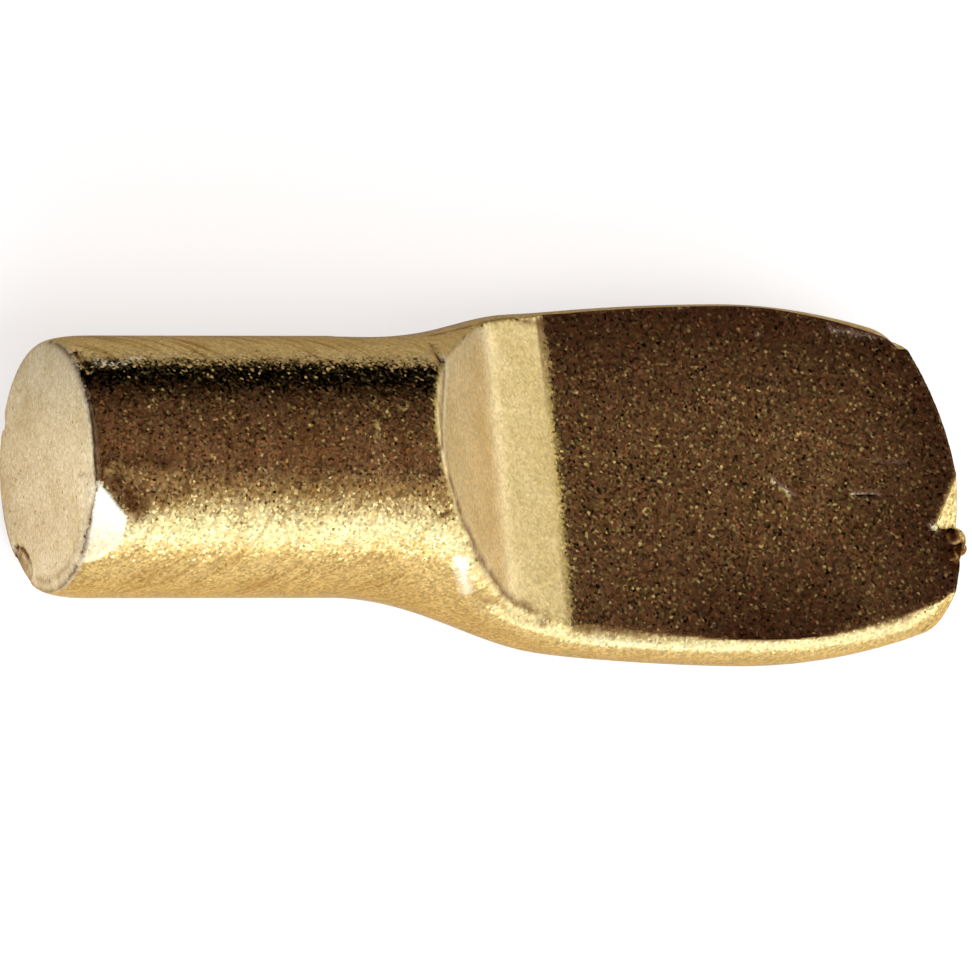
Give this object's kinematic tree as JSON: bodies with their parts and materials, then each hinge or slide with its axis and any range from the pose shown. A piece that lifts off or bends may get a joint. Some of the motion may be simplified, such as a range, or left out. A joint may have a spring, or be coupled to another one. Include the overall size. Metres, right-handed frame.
{
  "type": "shelf support pin",
  "caption": "Spoon-style shelf support pin: a plain round shank that steps down a ramp to a flat, rounded spoon the shelf rests on.",
  "frame": {"origin": "on the shank's axis, where the plain round shank ends and the flare starts", "axes": "+X along the shank from its free end towards the spoon, +Z out of the seat that the shelf lies on"},
  "size_m": [0.0243, 0.009, 0.0064],
  "materials": {
    "brass": "cold-pressed bright brass, finely grained"
  },
  "bodies": {
    "root": {"shelf_pin": "brass"}
  },
  "joints": []
}
